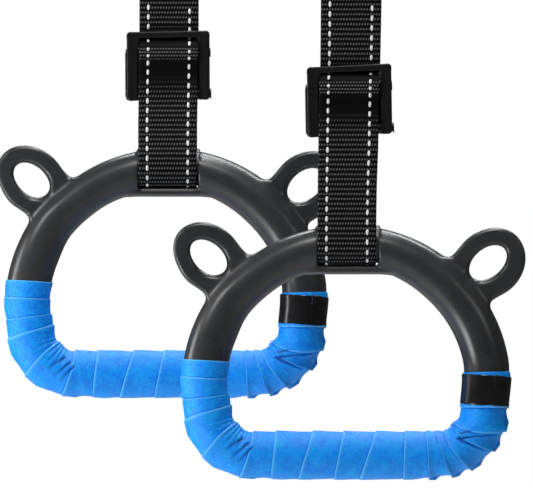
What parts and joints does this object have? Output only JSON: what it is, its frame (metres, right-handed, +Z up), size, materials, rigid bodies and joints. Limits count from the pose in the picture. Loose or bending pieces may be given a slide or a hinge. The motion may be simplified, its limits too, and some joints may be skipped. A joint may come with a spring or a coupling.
{
  "type": "gymnastics rings",
  "caption": "Pair of D-shaped gymnastics rings with side eyes and wrapped grip tape, each threaded on a webbing strap with a spring cam buckle and a sewn hanging eye.",
  "frame": {"origin": "centre of the front strap's sewn hanging eye, on the axis of the round bar it takes", "axes": "+X to the right along the eye's bar, +Z up along the hanging strap, -Y towards the user who faces the rings"},
  "size_m": [0.342, 0.158, 0.4225],
  "materials": {
    "ring_plastic": "satin moulded plastic",
    "grip_tape": "smooth blue wrap with overlapping turns",
    "finish_tape": "glossy black tape",
    "webbing": "ribbed woven webbing with two pale tracer rows",
    "thread": "sewing thread",
    "black_metal": "matt black coating",
    "steel": "plain"
  },
  "bodies": {
    "hanging_eyes": {"front_strap_eye": "webbing", "front_eye_stitching": "thread", "rear_strap_eye": "webbing", "rear_eye_stitching": "thread"},
    "front_strap": {"front_strap_upper": "webbing"},
    "front_hanger": {"front_strap_loop": "webbing", "front_loop_stitching": "thread", "front_buckle_frame": "black_metal", "front_cam_pin": "steel", "front_cam_spring": "steel", "front_fixed_bar": "steel"},
    "front_lever": {"front_cam_lever": "black_metal"},
    "front_ring": {"front_ring_body": "ring_plastic", "front_grip_tape": "grip_tape", "front_finish_tape": "finish_tape"},
    "rear_strap": {"rear_strap_upper": "webbing"},
    "rear_hanger": {"rear_strap_loop": "webbing", "rear_loop_stitching": "thread", "rear_buckle_frame": "black_metal", "rear_cam_pin": "steel", "rear_cam_spring": "steel", "rear_fixed_bar": "steel"},
    "rear_lever": {"rear_cam_lever": "black_metal"},
    "rear_ring": {"rear_ring_body": "ring_plastic", "rear_grip_tape": "grip_tape", "rear_finish_tape": "finish_tape"}
  },
  "joints": [
    {"name": "front_swing", "type": "hinge", "parent": "hanging_eyes", "child": "front_strap", "pos_m": [0, -0.001, -0.084], "axis": [1, 0, 0], "range_deg": [-60, 7]},
    {"name": "front_turn", "type": "hinge", "parent": "front_strap", "child": "front_hanger", "pos_m": [0, -0.001, -0.1], "axis": [0, 0, 1], "range_deg": [-45, 75], "stiffness_Nm_per_rad": 0.02},
    {"name": "front_ring_tilt", "type": "hinge", "parent": "front_hanger", "child": "front_ring", "pos_m": [0, -0.0023, -0.2526], "axis": [1, 0, 0], "range_deg": [-30, 30]},
    {"name": "front_cam_lever", "type": "hinge", "parent": "front_hanger", "child": "front_lever", "pos_m": [0.0006, 0.0002, -0.15221], "axis": [0.9989, 0, 0.0471], "range_deg": [0, 48], "stiffness_Nm_per_rad": 0.06, "springref_deg": -34.38, "deforming": ["front_cam_spring"]},
    {"name": "rear_swing", "type": "hinge", "parent": "hanging_eyes", "child": "rear_strap", "pos_m": [-0.1164, 0.119, -0.084], "axis": [1, 0, 0], "range_deg": [-7, 60]},
    {"name": "rear_turn", "type": "hinge", "parent": "rear_strap", "child": "rear_hanger", "pos_m": [-0.1164, 0.119, -0.1], "axis": [0, 0, 1], "range_deg": [-45, 75], "stiffness_Nm_per_rad": 0.02},
    {"name": "rear_ring_tilt", "type": "hinge", "parent": "rear_hanger", "child": "rear_ring", "pos_m": [-0.1164, 0.1177, -0.2022], "axis": [1, 0, 0], "range_deg": [-30, 30]},
    {"name": "rear_cam_lever", "type": "hinge", "parent": "rear_hanger", "child": "rear_lever", "pos_m": [-0.11655, 0.1202, -0.1277], "axis": [0.9998, 0, 0.0175], "range_deg": [0, 48], "stiffness_Nm_per_rad": 0.06, "springref_deg": -34.38, "deforming": ["rear_cam_spring"]}
  ]
}
